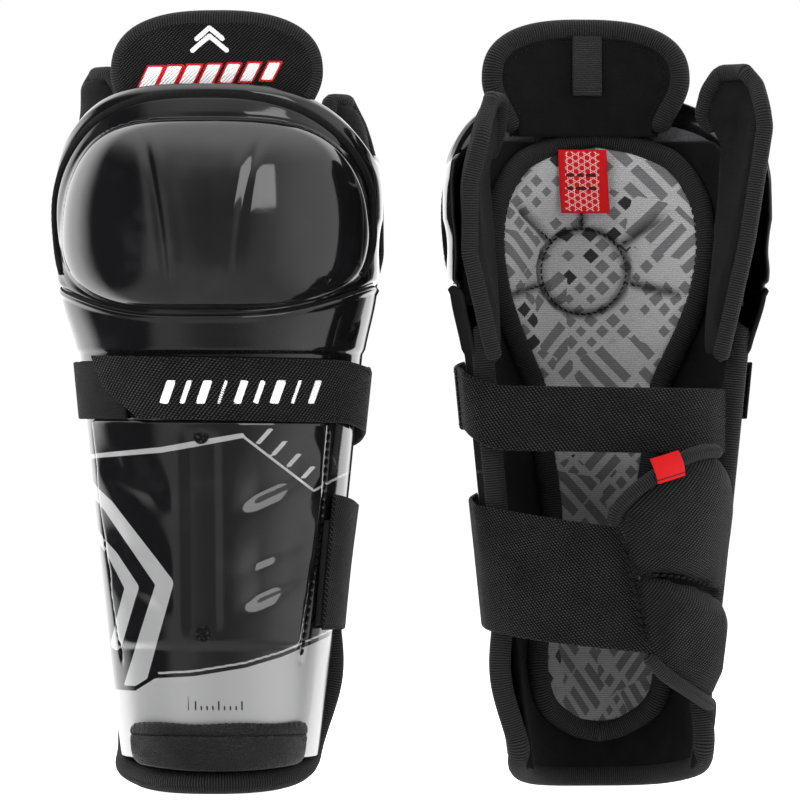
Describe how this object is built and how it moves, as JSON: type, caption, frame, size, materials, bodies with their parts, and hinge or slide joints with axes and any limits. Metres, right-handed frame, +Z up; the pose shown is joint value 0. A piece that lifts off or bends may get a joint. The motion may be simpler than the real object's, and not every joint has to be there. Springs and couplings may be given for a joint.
{
  "type": "hockey shin guards",
  "caption": "Pair of youth ice hockey shin guards, one seen from the front and one from the back: domed knee cap, ribbed shin shell, padded liner, calf wing and two straps.",
  "frame": {"origin": "on the floor, in the middle of the pair's footprint", "axes": "+Z up along the shins; +Y from guard A's hard front to its open back; +X from guard A to guard B, which stands with its open back towards -Y"},
  "size_m": [0.294, 0.1494, 0.326],
  "materials": {
    "shell": "high gloss, silver print",
    "woven": "woven nylon",
    "brushed": "brushed knit over foam",
    "ribbed_roll": "ribbed knit",
    "liner_print": "printed mesh knit",
    "foam": "closed-cell foam",
    "leather": "grained, matt",
    "elastic": "ribbed elastic",
    "hook_and_loop": "napped",
    "ribbon": "woven tape",
    "red_ribbon": "woven tape",
    "rivet": "black lacquer"
  },
  "bodies": {
    "a_shin": {"a_shin_shell": "shell", "a_shin_foam": "foam", "a_rivets": "rivet", "a_rivet_washers": "rivet", "a_toe_binding": "leather", "a_shin_carrier": "woven", "a_shin_liner": "liner_print", "a_base_roll": "ribbed_roll", "a_upper_loop_patch": "hook_and_loop", "a_lower_loop_patch": "hook_and_loop"},
    "a_knee": {"a_knee_cap": "shell", "a_cap_foam": "foam", "a_knee_carrier": "woven", "a_knee_liner": "liner_print"},
    "a_flap": {"a_flap_binding": "ribbed_roll", "a_flap_core": "foam", "a_flap_front": "woven", "a_flap_lining": "brushed"},
    "a_pull_loop": {"a_pull_loop": "ribbon"},
    "a_label": {"a_size_label": "red_ribbon"},
    "a_lateral_wing": {"a_lateral_wing": "brushed"},
    "a_medial_wing": {"a_medial_wing": "brushed"},
    "a_calf_wing": {"a_calf_pad_upper": "brushed", "a_calf_pad_lower": "brushed", "a_calf_piping": "ribbed_roll", "a_calf_tag": "red_ribbon"},
    "a_lower_strap": {"a_lower_strap": "elastic", "a_lower_hook": "hook_and_loop"},
    "a_upper_strap": {"a_upper_strap": "elastic"},
    "a_upper_tab": {"a_upper_tab": "elastic"},
    "b_shin": {"b_shin_shell": "shell", "b_shin_foam": "foam", "b_rivets": "rivet", "b_rivet_washers": "rivet", "b_toe_binding": "leather", "b_shin_carrier": "woven", "b_shin_liner": "liner_print", "b_base_roll": "ribbed_roll", "b_upper_loop_patch": "hook_and_loop", "b_lower_loop_patch": "hook_and_loop"},
    "b_knee": {"b_knee_cap": "shell", "b_cap_foam": "foam", "b_knee_carrier": "woven", "b_knee_liner": "liner_print"},
    "b_flap": {"b_flap_binding": "ribbed_roll", "b_flap_core": "foam", "b_flap_front": "woven", "b_flap_lining": "brushed"},
    "b_pull_loop": {"b_pull_loop": "ribbon"},
    "b_label": {"b_size_label": "red_ribbon"},
    "b_lateral_wing": {"b_lateral_wing": "brushed"},
    "b_medial_wing": {"b_medial_wing": "brushed"},
    "b_calf_wing": {"b_calf_pad_upper": "brushed", "b_calf_pad_lower": "brushed", "b_calf_piping": "ribbed_roll", "b_calf_tag": "red_ribbon"},
    "b_lower_strap": {"b_lower_strap": "elastic", "b_lower_hook": "hook_and_loop"},
    "b_upper_strap": {"b_upper_strap": "elastic"},
    "b_upper_tab": {"b_upper_tab": "elastic"}
  },
  "joints": [
    {"name": "a_knee_flex", "type": "hinge", "parent": "a_shin", "child": "a_knee", "pos_m": [-0.07867, 0.01985, 0.203], "axis": [-0.9925, 0.1219, 0], "range_deg": [0, 12]},
    {"name": "a_flap_tilt", "type": "hinge", "parent": "a_knee", "child": "a_flap", "pos_m": [-0.08489, -0.03077, 0.2825], "axis": [-0.9925, 0.1219, 0], "range_deg": [0, 60]},
    {"name": "a_pull_loop_lift", "type": "hinge", "parent": "a_flap", "child": "a_pull_loop", "pos_m": [-0.08558, -0.03643, 0.317], "axis": [0.9925, -0.1219, 0], "range_deg": [0, 80]},
    {"name": "a_label_lift", "type": "hinge", "parent": "a_knee", "child": "a_label", "pos_m": [-0.08569, -0.03732, 0.2705], "axis": [0.9925, -0.1219, 0], "range_deg": [0, 100]},
    {"name": "a_lateral_wing_open", "type": "hinge", "parent": "a_knee", "child": "a_lateral_wing", "pos_m": [-0.13197, 0.02478, 0.24], "axis": [0, 0, 1], "range_deg": [0, 30]},
    {"name": "a_medial_wing_open", "type": "hinge", "parent": "a_knee", "child": "a_medial_wing", "pos_m": [-0.02577, 0.01174, 0.24], "axis": [0, 0, -1], "range_deg": [0, 30]},
    {"name": "a_calf_wing_open", "type": "hinge", "parent": "a_shin", "child": "a_calf_wing", "pos_m": [-0.1345, 0.02469, 0.09], "axis": [0, 0, 1], "range_deg": [0, 70]},
    {"name": "a_lower_strap_open", "type": "hinge", "parent": "a_calf_wing", "child": "a_lower_strap", "pos_m": [-0.07328, 0.0474, 0.09], "axis": [0, 0, 1], "range_deg": [0, 70]},
    {"name": "a_upper_tab_peel", "type": "hinge", "parent": "a_upper_strap", "child": "a_upper_tab", "pos_m": [-0.01871, -0.00796, 0.165], "axis": [0, 0, 1], "range_deg": [0, 40]},
    {"name": "a_upper_strap_swing", "type": "hinge", "parent": "a_shin", "child": "a_upper_strap", "pos_m": [-0.12699, 0.02427, 0.16], "axis": [0, 0, 1], "range_deg": [0, 14]},
    {"name": "b_knee_flex", "type": "hinge", "parent": "b_shin", "child": "b_knee", "pos_m": [0.08333, -0.01985, 0.203], "axis": [0.9925, 0.1219, 0], "range_deg": [0, 12]},
    {"name": "b_flap_tilt", "type": "hinge", "parent": "b_knee", "child": "b_flap", "pos_m": [0.07711, 0.03077, 0.2825], "axis": [0.9925, 0.1219, 0], "range_deg": [0, 60]},
    {"name": "b_pull_loop_lift", "type": "hinge", "parent": "b_flap", "child": "b_pull_loop", "pos_m": [0.07642, 0.03643, 0.317], "axis": [-0.9925, -0.1219, 0], "range_deg": [0, 80]},
    {"name": "b_label_lift", "type": "hinge", "parent": "b_knee", "child": "b_label", "pos_m": [0.07631, 0.03732, 0.2705], "axis": [-0.9925, -0.1219, 0], "range_deg": [0, 100]},
    {"name": "b_lateral_wing_open", "type": "hinge", "parent": "b_knee", "child": "b_lateral_wing", "pos_m": [0.13623, -0.01174, 0.24], "axis": [0, 0, 1], "range_deg": [0, 30]},
    {"name": "b_medial_wing_open", "type": "hinge", "parent": "b_knee", "child": "b_medial_wing", "pos_m": [0.03003, -0.02478, 0.24], "axis": [0, 0, -1], "range_deg": [0, 30]},
    {"name": "b_calf_wing_open", "type": "hinge", "parent": "b_shin", "child": "b_calf_wing", "pos_m": [0.13867, -0.01104, 0.09], "axis": [0, 0, 1], "range_deg": [0, 70]},
    {"name": "b_lower_strap_open", "type": "hinge", "parent": "b_calf_wing", "child": "b_lower_strap", "pos_m": [0.08475, -0.04789, 0.09], "axis": [0, 0, 1], "range_deg": [0, 70]},
    {"name": "b_upper_tab_peel", "type": "hinge", "parent": "b_upper_strap", "child": "b_upper_tab", "pos_m": [0.01842, -0.00737, 0.165], "axis": [0, 0, 1], "range_deg": [0, 40]},
    {"name": "b_upper_strap_swing", "type": "hinge", "parent": "b_shin", "child": "b_upper_strap", "pos_m": [0.13128, -0.01245, 0.16], "axis": [0, 0, 1], "range_deg": [0, 14]},
    {"name": "b_carry", "type": "slide", "parent": "a_shin", "child": "b_shin", "axis": [1, 0, 0], "range_m": [0, 0.2]}
  ],
  "couplings": [
    {"joint": "a_lower_strap_open", "follows": "a_calf_wing_open", "ratio": 1},
    {"joint": "a_upper_strap_swing", "follows": "a_upper_tab_peel", "ratio": 0.35},
    {"joint": "b_lower_strap_open", "follows": "b_calf_wing_open", "ratio": 1},
    {"joint": "b_upper_strap_swing", "follows": "b_upper_tab_peel", "ratio": 0.35}
  ]
}
